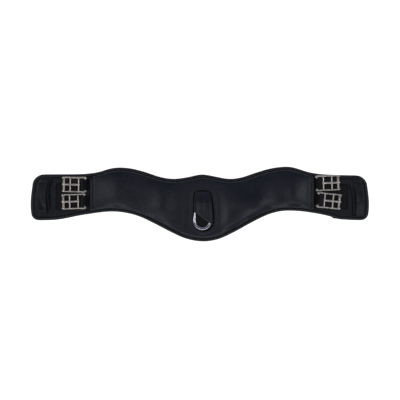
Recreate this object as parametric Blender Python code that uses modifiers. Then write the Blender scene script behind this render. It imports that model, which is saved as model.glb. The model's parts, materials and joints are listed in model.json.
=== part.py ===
"""Contoured saddle girth, lying flat with its outer face up.

X runs along the girth, Y across it (the belly hangs towards -Y), Z out of the outer face.
The origin is the centre of the bounding box's bottom. Lengths below are millimetres.
"""
import math

import bmesh
import bpy
from mathutils import Matrix, Vector

MM = 0.001

# Outline, hand-laid control points (x, y).
TOP_EDGE = [
    (-375, 62.9), (-320, 63.7), (-245, 64.7), (-218, 68.7), (-192, 76.2), (-172, 78.2), (-148, 76.2),
    (-118, 68.7), (-88, 58.7), (-68, 54.7), (-50, 54.2), (-28, 57.2), (4, 63.2), (34, 58.7), (55, 54.7),
    (72, 54.2), (92, 57.7), (122, 67.7), (150, 75.7), (180, 79.9), (200, 78.7), (218, 73.2), (240, 67),
    (262, 64), (300, 62.2), (375, 60.7),
]
BOTTOM_EDGE = [
    (-375, -34.1), (-322, -34.1), (-296, -31.5), (-262, -24.7), (-225, -18.8), (-190, -15.6), (-160, -18.3),
    (-130, -26.3), (-95, -42.8), (-60, -60.8), (-30, -73.8), (6, -79.9), (40, -74.8), (75, -59), (110, -39.8),
    (145, -22.8), (172, -15.3), (195, -13.8), (225, -15.8), (258, -21), (274, -24.6), (287.5, -28.2), (294, -31.6),
    (303, -32.4), (330, -34), (375, -33.8),
]
END_X_TOP, END_X_LOW = 360.2, 362.6        # the end edges lean out a little towards the bottom
END_RADIUS_TOP, END_RADIUS_LOW = 25.0, 16.0
BODY_X = {-1: -236.6, 1: 245.3}            # where the body's cover ends, left and right
BODY_STATIONS = 41
FOLD_GAP = 1.0                             # from the cover's end to the fold line
FOLD_Z = 6.9                               # height of the fold line, just over the guard
GUARD_GAP = 0.3                            # the guard starts this far outside the fold line

# Layer profiles: (inset from the outline, height).
LINING = [(5.4, 0), (5.3, 1.45), (1.6, 1.45), (1.6, 2.55), (6.2, 2.55), (7.0, 1.5)]
BINDING = [(5.0, 0), (1.6, 0), (0.5, 0.6), (0, 1.9), (0, 3.5), (0.5, 4.8), (1.6, 5.4), (4.2, 5.5), (5.0, 5.2),
           (5.0, 4.2), (1.2, 4.2), (1.2, 1.2), (5.0, 1.2)]
BODY_TOP = [(1.6, 4.0), (5.4, 4.0), (6.6, 6.4), (10, 9.6), (14, 11.2), (20, 11.9)]
BODY_UNDER = [(1.6, 2.75), (6.2, 2.75), (7.9, 5.3), (11, 8.2), (14.6, 9.8), (20, 10.4)]
PAD_TOP = [(7.6, 2.4), (8.6, 5.0), (11.8, 7.9), (15.4, 9.5), (20.6, 10.15)]
PAD_UNDER_Z = 1.7
PAD_STEP_X, PAD_STEP_Z = 9.0, 3.4          # the padding is lower under the elastics' sewn ends
END_DROOP, DROOP_FROM, DROOP_TO = 0.75, 6.8, 9.2   # the cover is sewn down at its ends
BAND_SECTION = [(0, 1.2), (-6.5, 1.2), (-6.5, 0.2), (-1.05, 0.2), (-1.05, -1.4), (0, -1.4)]
GUARD_FACE = [(11.4, 5.2), (8.0, 4.5), (5.9, 2.75), (1.6, 2.75), (1.6, 4.0), (5.4, 4.0), (7.5, 5.8), (11, 6.5)]
GUARD_PAD = [(7.6, 1.7), (8.4, 3.9), (11.8, 5.0)]
GUARD_INSET_Z = (5.1, 5.9)
GUARD_WINDOW = {-1: (-310, -256, -11.7, 45.4), 1: (266, 319, -9.5, 43.2)}   # x0, x1, y0, y1
WINDOW_RADIUS = 4.0
GROOVE = 0.35

# Core webbing.
CORE_Z = (8.95, 10.05)
CORE_Y = (5, 35)                           # along the middle
CORE_END_Y = (2, 46.5)                      # where it spreads to take both elastics
CORE_SQUARE, CORE_FLARE = 10, 34

# Window in the face and what lies in it.
OBLONG = [(-6, 28.4), (17, 28.4), (23.5, 25), (26, 18), (29, -2), (30.6, -20), (31, -38), (27.6, -48.5), (20, -55.8),
          (8, -59.6), (-3, -57), (-11, -50), (-15.4, -41), (-15.9, -30), (-14.6, -16), (-14, 0), (-13.8, 19),
          (-11.4, 25.6)]
PIPING = [(-0.6, 12.1), (-0.9, 13.0), (-1.9, 13.7), (-3.2, 13.7), (-4.1, 13.0), (-4.4, 12.1)]
POCKET_Z, PANEL_Z, PANEL_TOP_Y = 6.7, (6.9, 7.6), -3.0
RING_CENTRE = Vector((5.4, -36.0))
RING_ANGLE = math.radians(-5)              # direction of the D-ring's bar
RING_Z, RING_R, RING_BAR = 11.0, 17.2, 21.5
RING_WIDE, RING_THICK, BAR_R = 3.5, 2.3, 1.6
TAB_HALF, TAB_PLY, TAB_GAP, TAB_RETURN = 12.8, 0.55, 0.25, 9.5
TAB_STRAIGHT = 5.0                         # the tab keeps its width this far behind the bar
TAB_TOP_Y, TAB_TOP_X, TAB_TOP_Z = 26.5, (-5.5, 19.5), 10.75

# Leather flap over the tab and the ring's top; its free lower edge is cut on a slant.
FLAP_LEFT = [(-17.3, -12.6), (0, -12.2), (20, -11.6), (26.6, -8.5)]          # (y, x) up the left side
FLAP_RIGHT = [(-45.4, 28.0), (-20, 28.0), (0, 26.2), (20, 23.0), (26.6, 18.5)]
FLAP_TOP_Y, FLAP_Z, FLAP_PLY = 26.6, 11.5, 1.1
FLAP_RISE, FLAP_RISE_Y, FLAP_SIDE = 2.8, (24, -4), 0.3   # how far it is lifted over the tab, and where

# Buckles: outer bar's centre (x, y) and the yaw that lifts the outer end towards +Y.
BUCKLES = {
    "left_upper": (-1, -292.1, 42.2, 1.0), "left_lower": (-1, -293.3, 4.9, -2.0),
    "right_upper": (1, 297.0, 46.3, 2.5), "right_lower": (1, 299.5, 4.9, -6.0),
}
BUCKLE_Z = 10.4
BARS = {"rear": (0.0, 1.6), "tongue": (13.6, 1.9), "middle": (31.7, 1.9), "outer": (45.2, 2.0)}   # x, radius
RAIL_Y, RAIL_HALF_W, RAIL_HALF_H, RAIL_TIP = 14.9, 1.7, 1.9, 0.72
ROLLER_R, ROLLER_BORE, ROLLER_HALF = 3.3, 2.1, 12.9
TONGUE_HALF_W, TONGUE_GAP, TONGUE_ROOT = 2.0, 0.15, 0.65
TONGUE_SHAFT = [(4, 3.1, 1.0, 2.0), (12, 3.6, 1.25, 2.0), (24, 4.7, 1.2, 1.9), (31.6, 4.75, 1.15, 1.8),
                (34.6, 4.4, 0.75, 1.3)]    # x, z, half thickness, half width
ELASTIC_HALF_W, ELASTIC_PLY = 11.2, 0.7
ELASTIC_END_Z = (4.45, 6.0)                # centres of the two plies at the sewn end
ELASTIC_IN = 5.0                           # length sewn into the body's end

# Billet keepers, each hand-laid down its length: share of the length, middle's x, half width.
KEEPERS = {
    -1: [(0, -331.8, 9.8), (0.22, -339.0, 9.7), (0.4, -340.6, 9.2), (0.7, -338.6, 8.7), (1, -336.4, 8.5)],
    1: [(0, 335.6, 9.6), (0.2, 339.4, 9.2), (0.4, 343.0, 8.5), (0.62, 344.3, 8.4), (0.8, 345.0, 8.9), (1, 344.6, 9.2)],
}
KEEPER_Y = (57.0, -27.5)
KEEPER_HALF_T, KEEPER_BEVEL, KEEPER_RISE = 0.9, 0.5, 6.2
KEEPER_FOOT_Z, KEEPER_FOOT, KEEPER_RAMP = 7.65, 0.06, 0.10   # foot and ramp are shares of the length

COLOURS = {
    "face_leather": ((0.020, 0.022, 0.027), 0.0, 0.38),
    "lining_leather": ((0.016, 0.016, 0.018), 0.0, 0.55),
    "binding_leather": ((0.024, 0.024, 0.030), 0.0, 0.35),
    "padding_foam": ((0.10, 0.10, 0.11), 0.0, 0.9),
    "webbing": ((0.05, 0.05, 0.05), 0.0, 0.85),
    "elastic": ((0.012, 0.012, 0.014), 0.0, 0.8),
    "buckle_steel": ((0.55, 0.51, 0.47), 1.0, 0.32),
    "ring_steel": ((0.78, 0.79, 0.82), 1.0, 0.12),
}


def material(slot):
    mat = bpy.data.materials.get(slot)
    if mat is None:
        colour, metal, rough = COLOURS[slot]
        mat = bpy.data.materials.new(slot)
        mat.use_nodes = True
        shader = mat.node_tree.nodes["Principled BSDF"]
        shader.inputs["Base Color"].default_value = (*colour, 1.0)
        shader.inputs["Metallic"].default_value = metal
        shader.inputs["Roughness"].default_value = rough
    return mat


def collection(name):
    found = bpy.data.collections.get(name)
    if found is None:
        found = bpy.data.collections.new(name)
        bpy.context.scene.collection.children.link(found)
    return found


def metres(*values):
    return tuple(v * MM for v in values)


def link(name, data, slot, origin=(0, 0, 0), parent=None):
    """Put mesh or curve data in the scene as a part whose origin is given in millimetres."""
    obj = bpy.data.objects.new(name, data)
    obj.location = metres(*origin)
    obj.parent = parent
    if slot and not data.materials:
        data.materials.append(material(slot))
    collection("saddle_girth").objects.link(obj)
    return obj


def to_mesh(name, bm, origin=(0, 0, 0)):
    """A bmesh in millimetres as a mesh in metres, faces outward, with its zero at the stated origin."""
    bmesh.ops.translate(bm, vec=-Vector(origin), verts=bm.verts)
    bmesh.ops.scale(bm, vec=(MM, MM, MM), verts=bm.verts)
    bmesh.ops.recalc_face_normals(bm, faces=bm.faces)
    mesh = bpy.data.meshes.new(name)
    bm.to_mesh(mesh)
    bm.free()
    return mesh


def skin(bm, rings, closed=False):
    """Join rings of points into one closed surface, capped at both ends unless the run closes on itself."""
    rows = [[bm.verts.new(p) for p in ring] for ring in rings]
    count = len(rows[0])
    pairs = list(zip(rows, rows[1:]))
    if closed:
        pairs.append((rows[-1], rows[0]))
    for a, b in pairs:
        for i in range(count):
            j = (i + 1) % count
            bm.faces.new((a[i], a[j], b[j], b[i]))
    if not closed:
        bm.faces.new(rows[0])
        bm.faces.new(list(reversed(rows[-1])))


def loft(name, rings, slot, closed=False, origin=(0, 0, 0)):
    bm = bmesh.new()
    skin(bm, rings, closed)
    return link(name, to_mesh(name, bm, origin), slot, origin)


def flat_piece(name, loop, z0, z1, slot, origin=(0, 0, 0)):
    """A flat outline cut from sheet: a filled 2D curve, extruded by half its thickness each way."""
    data = bpy.data.curves.new(name, "CURVE")
    data.dimensions = "2D"
    data.fill_mode = "BOTH"
    data.extrude = (z1 - z0) / 2 * MM
    spline = data.splines.new("POLY")
    spline.points.add(len(loop) - 1)
    for point, p in zip(spline.points, loop):
        point.co = (*metres(p[0] - origin[0], p[1] - origin[1]), 0, 1)
    spline.use_cyclic_u = True
    return link(name, data, slot, (origin[0], origin[1], (z0 + z1) / 2))


def add_boolean(target, name, bm, operation):
    """Cut or join a hidden solid, kept in its own collection."""
    tool = bpy.data.objects.new(name, to_mesh(name, bm))
    collection("cutters").objects.link(tool)
    tool.hide_render = True
    tool.display_type = "WIRE"
    mod = target.modifiers.new(name, "BOOLEAN")
    mod.operation = operation
    mod.solver = "EXACT"
    mod.object = tool
    return tool


def cut_through(target, name, loop, z0, z1):
    bm = bmesh.new()
    skin(bm, [at_height(loop, z0), at_height(loop, z1)])
    add_boolean(target, name, bm, "DIFFERENCE")


def curve(points, x):
    """A smooth curve through hand-laid points: y at x, and its slope."""
    i = max(j for j in range(len(points) - 1) if j == 0 or points[j][0] <= x)
    (x0, y0), (x1, y1) = points[i], points[i + 1]

    def tangent(j):
        a, b = points[max(j - 1, 0)], points[min(j + 1, len(points) - 1)]
        return (b[1] - a[1]) / (b[0] - a[0])

    h = x1 - x0
    t = (x - x0) / h
    m0, m1 = tangent(i) * h, tangent(i + 1) * h
    y = (2 * t**3 - 3 * t**2 + 1) * y0 + (t**3 - 2 * t**2 + t) * m0
    y += (3 * t**2 - 2 * t**3) * y1 + (t**3 - t**2) * m1
    slope = (6 * t**2 - 6 * t) * (y0 - y1) + (3 * t**2 - 4 * t + 1) * m0 + (3 * t**2 - 2 * t) * m1
    return y, slope / h


def inset_y(side, x, inset):
    """The y at a stated inset from the top (+1) or bottom (-1) edge, measured across the edge."""
    y, slope = curve(TOP_EDGE if side > 0 else BOTTOM_EDGE, x)
    return y - side * inset * math.sqrt(1 + slope * slope)


def spread(start, stop, count):
    return [start + (stop - start) * i / (count - 1) for i in range(count)]


def circle(count):
    return [(math.cos(math.tau * k / count), math.sin(math.tau * k / count)) for k in range(count)]


def offset_loop(loop, inset):
    """A closed loop moved inward (outward if negative) with mitred corners."""
    area = sum(a[0] * b[1] - b[0] * a[1] for a, b in zip(loop, loop[1:] + loop[:1]))
    turn = math.copysign(1, area)
    out = []
    for i, p in enumerate(loop):
        before, here, after = Vector(loop[i - 1]), Vector(p), Vector(loop[(i + 1) % len(loop)])
        d0, d1 = (here - before).normalized(), (after - here).normalized()
        n0, n1 = Vector((-d0.y, d0.x)) * turn, Vector((-d1.y, d1.x)) * turn
        mid = (n0 + n1).normalized()
        out.append(here + mid * (inset / max(mid.dot(n0), 0.3)))
    return out


def at_height(loop, z):
    return [(p[0], p[1], z) for p in loop]


def smooth_loop(points, per_side):
    """A closed smooth loop through hand-laid points."""
    out = []
    for i in range(len(points)):
        p0, p1, p2, p3 = (Vector(points[(i + k) % len(points)]) for k in (-1, 0, 1, 2))
        for s in range(per_side):
            t = s / per_side
            bend = (2 * p0 - 5 * p1 + 4 * p2 - p3) * t**2 + (3 * p1 - p0 - 3 * p2 + p3) * t**3
            out.append(0.5 * (2 * p1 + (p2 - p0) * t + bend))
    return out


# ---------------------------------------------------------------- body

def droop(x, z):
    """Heights over the edge level come down where the cover is sewn at its ends."""
    edge = BODY_TOP[0][1]
    if z <= edge:
        return z
    from_end = min(x - BODY_X[-1], BODY_X[1] - x)
    k = min(1.0, max(0.0, (from_end - DROOP_FROM) / (DROOP_TO - DROOP_FROM)))
    return edge + (z - edge) * (END_DROOP + (1 - END_DROOP) * k)


def body_section(x, upper, under):
    """One cross-section of the body: upper surface from +Y to -Y, then back along the underside."""
    ring = [(x, inset_y(1, x, d), z) for d, z in upper]
    ring += [(x, inset_y(-1, x, d), z) for d, z in reversed(upper)]
    ring += [(x, inset_y(-1, x, d), z) for d, z in under]
    ring += [(x, inset_y(1, x, d), z) for d, z in reversed(under)]
    return ring


def build_lining():
    rings = []
    for x in spread(BODY_X[-1] + 0.4, BODY_X[1] - 0.4, BODY_STATIONS):
        upper = [(x, inset_y(1, x, d), z) for d, z in LINING]
        rings.append(upper + [(x, inset_y(-1, x, d), z) for d, z in reversed(LINING)])
    loft("body_lining", rings, "lining_leather")


def build_padding():
    x0, x1 = BODY_X[-1] + 0.6, BODY_X[1] - 0.6
    inner = spread(x0 + PAD_STEP_X, x1 - PAD_STEP_X, BODY_STATIONS - 2)
    under = [(PAD_TOP[0][0], PAD_UNDER_Z), (PAD_TOP[1][0], PAD_UNDER_Z)]
    stepped = [(d, min(z, PAD_STEP_Z)) for d, z in PAD_TOP]
    rings = [body_section(x, stepped, under) for x in (x0, inner[0] - 0.2)]
    rings += [body_section(x, PAD_TOP, under) for x in inner]
    rings += [body_section(x, stepped, under) for x in (inner[-1] + 0.2, x1)]
    pad = loft("body_padding", rings, "padding_foam")
    cut_through(pad, "core_pocket", offset_loop(core_outline(), -0.3), CORE_Z[0] - 0.1, BODY_TOP[-1][1])
    cut_through(pad, "window_well", lower_window(-0.5), POCKET_Z, BODY_TOP[-1][1])


def core_outline():
    x0, x1 = BODY_X[-1] + PAD_STEP_X + 0.1, BODY_X[1] - PAD_STEP_X - 0.1
    (low, high), (end_low, end_high) = CORE_Y, CORE_END_Y
    near = [(x0, end_low), (x0 + CORE_SQUARE, end_low), (x0 + CORE_FLARE, low)]
    far = [(x1 - CORE_FLARE, low), (x1 - CORE_SQUARE, end_low), (x1, end_low)]
    top = {end_low: end_high, low: high}
    return near + far + [(x, top[y]) for x, y in reversed(near + far)]


def lower_window(inset):
    """The part of the oblong window below the core webbing."""
    loop = offset_loop(smooth_loop(OBLONG, 2), inset)
    low = [p for p in loop if p.y < PANEL_TOP_Y]
    return [Vector((low[0].x, PANEL_TOP_Y - inset))] + low + [Vector((low[-1].x, PANEL_TOP_Y - inset))]


def build_face():
    x0, x1 = BODY_X[-1], BODY_X[1]
    stations = [x0 + 1.3, x0 + DROOP_FROM] + spread(x0 + DROOP_TO, x1 - DROOP_TO, BODY_STATIONS)
    stations += [x1 - DROOP_FROM, x1 - 1.3]
    rings = []
    for x in stations:
        upper, under = ([(d, droop(x, z)) for d, z in row] for row in (BODY_TOP, BODY_UNDER))
        rings.append(body_section(x, upper, under))
    face = loft("body_face", rings, "face_leather")
    cut_through(face, "window_cut", smooth_loop(OBLONG, 2), BODY_UNDER[-1][1] - 2, BODY_TOP[-1][1] + 2)


def sweep_edge(name, path, inward, origin=(0, 0, 0)):
    """Carry the binding's section along an open edge path; inward is +1 if the leather is on its left."""
    rings = []
    for i, p in enumerate(path):
        a, b = Vector(path[max(i - 1, 0)]), Vector(path[min(i + 1, len(path) - 1)])
        d = (b - a).normalized()
        n = Vector((-d.y, d.x)) * inward
        if i in (0, len(path) - 1):
            n = Vector((0, 1 / n.y))
        rings.append([(p[0] + n.x * s, p[1] + n.y * s, z) for s, z in BINDING])
    loft(name, rings, "binding_leather", origin=origin)


def build_body_bindings():
    stations = spread(BODY_X[-1], BODY_X[1], BODY_STATIONS)
    sweep_edge("body_binding_upper", [(x, inset_y(1, x, 0)) for x in stations], -1)
    sweep_edge("body_binding_lower", [(x, inset_y(-1, x, 0)) for x in stations], 1)


def build_end_band(side, name):
    """A strip over the face's end, turned down over its cut edge."""
    x = BODY_X[side]
    sewn = BODY_TOP[2:]
    across = [(1, d, z) for d, z in sewn] + [(-1, d, z) for d, z in reversed(sewn)]
    rings = []
    for edge, d, z in across:
        rings.append([(x + side * u, inset_y(edge, x + side * u, d), droop(x, z) + v) for u, v in BAND_SECTION])
    loft(name, rings, "binding_leather")


def build_window():
    hole = smooth_loop(OBLONG, 2)
    rings = [at_height(offset_loop(hole, d), z) for d, z in PIPING]
    loft("window_piping", rings, "binding_leather", closed=True)
    flat_piece("recess_panel", lower_window(0.4), *PANEL_Z, "lining_leather")
    flat_piece("core_webbing", core_outline(), *CORE_Z, "webbing")


def ring_axes():
    """Unit vectors along the D-ring's bar and from its bow back towards the bar."""
    along = Vector((math.cos(RING_ANGLE), math.sin(RING_ANGLE)))
    return along, Vector((-along.y, along.x))


def smoothstep(t):
    t = min(1.0, max(0.0, t))
    return t * t * (3 - 2 * t)


def build_d_ring():
    along, back = ring_axes()
    path = [(-RING_R * c, -RING_R * s, False) for c, s in circle(32)[:17]]
    path += [(RING_R, RING_BAR - 3.0, False), (RING_R - 1.2, RING_BAR - 0.6, False)]
    path += [(u, RING_BAR, True) for u in spread(TAB_HALF, -TAB_HALF, 4)]
    path += [(-RING_R + 1.2, RING_BAR - 0.6, False), (-RING_R, RING_BAR - 3.0, False)]
    rings = []
    for i, (u, v, is_bar) in enumerate(path):
        a, b = path[i - 1], path[(i + 1) % len(path)]
        d = Vector((b[0] - a[0], b[1] - a[1])).normalized()
        n = along * -d.y + back * d.x
        wide, thick = (BAR_R, BAR_R) if is_bar else (RING_WIDE, RING_THICK)
        middle = RING_CENTRE + along * u + back * v
        rings.append([(*(middle + n * wide * c), RING_Z + thick * s) for c, s in circle(12)])
    bar = RING_CENTRE + back * RING_BAR
    loft("d_ring", rings, "ring_steel", closed=True, origin=(*bar, RING_Z))


def thick_line(track, half):
    """The outline of a folded sheet: its centre line, moved half the thickness each way."""
    outer = [tuple(a + n * half for a, n in zip(p, normal)) for p, normal in track]
    inner = [tuple(a - n * half for a, n in zip(p, normal)) for p, normal in track]
    return outer + inner[::-1]


def build_tab():
    """The leather loop that holds the D-ring: down from the window's top, round the bar and back below it."""
    along, back = ring_axes()
    radius = BAR_R + TAB_GAP + TAB_PLY
    rings = []
    for t in spread(-1, 1, 7):
        bar = RING_CENTRE + back * RING_BAR + along * (t * TAB_HALF)
        start = Vector((TAB_TOP_X[0] + (TAB_TOP_X[1] - TAB_TOP_X[0]) * (t + 1) / 2, TAB_TOP_Y))
        straight = bar + back * TAB_STRAIGHT
        track = []
        for k in (0, 0.35, 0.7, 1.0):
            rise = TAB_TOP_Z + (RING_Z + radius - TAB_TOP_Z) * k**2
            track.append(((*start.lerp(straight, k), rise), (0, 0, 1)))
        for k in range(9):
            a = math.pi / 2 - math.pi * k / 8
            out = -back * math.cos(a)
            track.append(((*(bar + out * radius), RING_Z + radius * math.sin(a)), (*out, math.sin(a))))
        track.append(((*(bar + back * TAB_RETURN), RING_Z - radius), (0, 0, -1)))
        rings.append(thick_line(track, TAB_PLY))
    loft("d_ring_tab", rings, "face_leather")


def build_flap():
    """One sheet, lofted in rows from its sewn top to the slanted free edge, arched over what lies under it."""
    rings = []
    for k in spread(0, 1, 10):
        ends = []
        for side in (FLAP_LEFT, FLAP_RIGHT):
            y = FLAP_TOP_Y + (side[0][0] - FLAP_TOP_Y) * k
            ends.append(Vector((curve(side, y)[0], y)))
        track = []
        for t in spread(-1, 1, 9):
            p = ends[0].lerp(ends[1], (t + 1) / 2)
            lift = smoothstep((FLAP_RISE_Y[0] - p.y) / (FLAP_RISE_Y[0] - FLAP_RISE_Y[1]))
            z = FLAP_Z + (FLAP_RISE - FLAP_SIDE * t * t) * lift
            track.append(((p.x, p.y, z + FLAP_PLY / 2), (0, 0, 1)))
        rings.append(thick_line(track, FLAP_PLY / 2))
    loft("window_flap", rings, "face_leather", origin=(0, FLAP_TOP_Y, FLAP_Z))


# ---------------------------------------------------------------- guards

def fold_line(side):
    return (BODY_X[side] + side * FOLD_GAP, 0, FOLD_Z)


def corner(centre, radius, start, stop, count):
    """Points of an arc between two angles in degrees, the first left out."""
    angles = [math.radians(a) for a in spread(start, stop, count + 1)[1:]]
    return [(centre[0] + radius * math.cos(a), centre[1] + radius * math.sin(a)) for a in angles]


def guard_path(side):
    """The guard's free edge as an open path: along the top, round the end, back along the bottom."""
    start = BODY_X[side] + side * (FOLD_GAP + GUARD_GAP)
    top_x, low_x = side * (END_X_TOP - END_RADIUS_TOP), side * (END_X_LOW - END_RADIUS_LOW)
    flat = 0 if side > 0 else 180
    path = [(x, inset_y(1, x, 0)) for x in spread(start, top_x, 9)]
    path += corner((top_x, path[-1][1] - END_RADIUS_TOP), END_RADIUS_TOP, 90, flat, 5)
    low_y = inset_y(-1, low_x, 0)
    upper, lower = Vector(path[-1]), Vector((side * END_X_LOW, low_y + END_RADIUS_LOW))
    path += [tuple(upper.lerp(lower, k)) for k in (0.35, 0.7, 1.0)]
    path += corner((low_x, lower.y), END_RADIUS_LOW, flat if side > 0 else -180, -90, 5)
    return path + [(x, inset_y(-1, x, 0)) for x in spread(low_x, start, 10)[1:]]


def rounded_box(x0, x1, y0, y1, radius):
    loop = []
    for sx, sy, angle in ((1, 1, 0), (-1, 1, 90), (-1, -1, 180), (1, -1, 270)):
        centre = ((x1 if sx > 0 else x0) - sx * radius, (y1 if sy > 0 else y0) - sy * radius)
        loop += corner(centre, radius, angle - 30, angle + 90, 4)
    return loop


def build_guard(side, word):
    loop = guard_path(side)
    origin = fold_line(side)

    def slab(name, profile, slot):
        rings = [at_height(offset_loop(loop, d), z) for d, z in profile]
        return loft(word + name, rings, slot, origin=origin)

    slab("_guard_lining", LINING, "lining_leather")
    slab("_guard_padding", GUARD_PAD, "padding_foam")
    face = slab("_guard_face", GUARD_FACE, "face_leather")
    hole = rounded_box(*GUARD_WINDOW[side], WINDOW_RADIUS)
    cut_through(face, word + "_guard_cut", hole, GUARD_INSET_Z[0] - 0.5, GUARD_FACE[-1][1] + 1)
    flat_piece(word + "_guard_inset", offset_loop(hole, GROOVE), *GUARD_INSET_Z, "face_leather", origin)
    sweep_edge(word + "_guard_binding", loop, -side, origin)


def build_keeper(side, word):
    """A strap sewn down at both ends that arches over the straps it keeps."""
    middle, width = ([(row[0], row[i]) for row in KEEPERS[side]] for i in (1, 2))
    t, bevel = KEEPER_HALF_T, KEEPER_BEVEL
    rings = []
    for k in spread(0, 1, 17):
        x, w = curve(middle, k)[0], curve(width, k)[0]
        y = KEEPER_Y[0] + (KEEPER_Y[1] - KEEPER_Y[0]) * k
        z = KEEPER_FOOT_Z + KEEPER_RISE * smoothstep((min(k, 1 - k) - KEEPER_FOOT) / KEEPER_RAMP)
        section = [(-w, bevel - t), (-w, t - bevel), (bevel - w, t), (w - bevel, t),
                   (w, t - bevel), (w, bevel - t), (w - bevel, -t), (bevel - w, -t)]
        rings.append([(x + dx, y, z + dz) for dx, dz in section])
    loft(word + "_keeper", rings, "binding_leather", origin=fold_line(side))


# ---------------------------------------------------------------- buckles
# A buckle's own frame: its zero is the rear bar, X points to the outer bar and Y lies along the bars.

def cylinder(bm, x, radius, half):
    made = bmesh.ops.create_cone(bm, cap_ends=True, segments=16, radius1=radius, radius2=radius, depth=2 * half)
    turn = Matrix.Rotation(math.pi / 2, 4, "X")
    bmesh.ops.transform(bm, matrix=Matrix.Translation((x, 0, 0)) @ turn, verts=made["verts"])


def rail_rings(sign):
    """One side rail: straight, narrower at both tips, curving in behind the rear bar."""
    path = [(48.4, 13.9), (47.0, 14.8), (44.5, RAIL_Y), (-0.5, RAIL_Y), (-1.9, 14.2), (-2.8, 12.9)]
    octagon = [(-1, -0.5), (-1, 0.5), (-0.5, 1), (0.5, 1), (1, 0.5), (1, -0.5), (0.5, -1), (-0.5, -1)]
    rings = []
    for i, (x, y) in enumerate(path):
        a, b = path[max(i - 1, 0)], path[min(i + 1, len(path) - 1)]
        d = Vector((b[0] - a[0], b[1] - a[1])).normalized()
        taper = RAIL_TIP if i in (0, len(path) - 1) else 1.0
        w, h = RAIL_HALF_W * taper, RAIL_HALF_H * taper
        rings.append([(x - d.y * w * c, sign * (y + d.x * w * c), h * s) for c, s in octagon])
    return rings


def frame_mesh():
    """Two side rails joined by four bars, made once for all buckles."""
    bm = bmesh.new()
    for sign in (1, -1):
        skin(bm, rail_rings(sign))
    rails = link("rails", to_mesh("rails", bm), "buckle_steel")
    bm = bmesh.new()
    for x, radius in BARS.values():
        cylinder(bm, x, radius, RAIL_Y)
    bars = add_boolean(rails, "bars", bm, "UNION")
    depsgraph = bpy.context.evaluated_depsgraph_get()
    mesh = bpy.data.meshes.new_from_object(rails.evaluated_get(depsgraph))
    for obj in (rails, bars):
        bpy.data.objects.remove(obj, do_unlink=True)
    return mesh


def roller_profile():
    """The roller's section as a closed line in the XZ plane, to be turned about Z."""
    outer, half, chamfer = ROLLER_R, ROLLER_HALF, 0.4
    section = [(outer - chamfer, half), (outer, half - chamfer), (outer, chamfer - half), (outer - chamfer, -half),
               (ROLLER_BORE, -half), (ROLLER_BORE, half)]
    bm = bmesh.new()
    verts = [bm.verts.new((r, 0, z)) for r, z in section]
    for i, v in enumerate(verts):
        bm.edges.new((v, verts[(i + 1) % len(verts)]))
    return to_mesh("roller", bm)


def tongue_mesh():
    """A tongue whose root is bent round its bar and whose tip lies on the roller; zero on the bar's axis."""
    wrap = BARS["tongue"][1] + TONGUE_GAP + TONGUE_ROOT
    track = []                             # x, z, the normal's x and z, half thickness, half width
    for k in range(11):
        a = math.radians(330 - 24 * k)
        c, s = math.cos(a), math.sin(a)
        track.append((wrap * c, wrap * s, c, s, TONGUE_ROOT, TONGUE_HALF_W))
    for x, z, h, w in TONGUE_SHAFT:
        track.append((x, z, 0.0, 1.0, h, w))
    section = [(-1, -0.7), (-0.6, -1), (0.6, -1), (1, -0.7), (1, 0.7), (0.6, 1), (-0.6, 1), (-1, 0.7)]
    bm = bmesh.new()
    skin(bm, [[(x + nx * h * c, w * s, z + nz * h * c) for c, s in section] for x, z, nx, nz, h, w in track])
    return to_mesh("tongue", bm)


def build_elastic(name, side, pivot, angle):
    """Two plies sewn into the body's end, folded round the rear bar: a folded outline, extruded."""
    into = (BODY_X[side] - side * ELASTIC_IN - pivot.location.x / MM) / math.cos(angle)
    gate = into + ELASTIC_IN + 1.2
    radius = BARS["rear"][1] + 0.2 + ELASTIC_PLY
    low, high = (z - BUCKLE_Z for z in ELASTIC_END_Z)
    line = [(into, high), (gate, high)]
    line += [(radius * math.cos(math.radians(a)), radius * math.sin(math.radians(a))) for a in spread(140, -110, 11)]
    line += [(gate, low), (into, low)]
    track = []
    for i, p in enumerate(line):
        before, after = Vector(line[max(i - 1, 0)]), Vector(line[min(i + 1, len(line) - 1)])
        d = (after - before).normalized()
        track.append((p, (-d.y, d.x)))
    piece = flat_piece(name, thick_line(track, ELASTIC_PLY), -ELASTIC_HALF_W, ELASTIC_HALF_W, "elastic")
    piece.parent = pivot
    piece.rotation_euler = (math.pi / 2, 0, 0)


def build_buckles():
    frame, roller, tongue = frame_mesh(), roller_profile(), tongue_mesh()
    for key, (side, x, y, yaw) in BUCKLES.items():
        angle = math.radians(yaw if side > 0 else 180 - yaw)
        reach = BARS["outer"][0]
        pivot = bpy.data.objects.new(key + "_rear_bar_axis", None)
        pivot.location = metres(x - reach * math.cos(angle), y - reach * math.sin(angle), BUCKLE_Z)
        pivot.rotation_euler = (0, 0, angle)
        collection("saddle_girth").objects.link(pivot)
        link(key + "_buckle_frame", frame, "buckle_steel", parent=pivot)
        link(key + "_tongue", tongue, "buckle_steel", (BARS["tongue"][0], 0, 0), pivot)
        turned = link(key + "_roller", roller, "buckle_steel", (reach, 0, 0), pivot)
        turned.rotation_euler = (math.pi / 2, 0, 0)
        screw = turned.modifiers.new("turn", "SCREW")
        screw.steps = screw.render_steps = 16
        screw.use_merge_vertices = True
        screw.merge_threshold = 0.0000001
        build_elastic(key + "_elastic", side, pivot, angle)


def main():
    for obj in list(bpy.data.objects):
        bpy.data.objects.remove(obj, do_unlink=True)
    build_lining()
    build_padding()
    build_face()
    build_body_bindings()
    build_end_band(-1, "left_end_band")
    build_end_band(1, "right_end_band")
    build_window()
    build_d_ring()
    build_tab()
    build_flap()
    for side, word in ((-1, "left"), (1, "right")):
        build_guard(side, word)
        build_keeper(side, word)
    build_buckles()


main()
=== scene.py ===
"""Looks of the contoured saddle girth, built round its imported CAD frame.

Lengths here are millimetres until a mesh is made. X runs along the girth, Y across it, Z out of its face.
"""
import json
import math
import random

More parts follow.
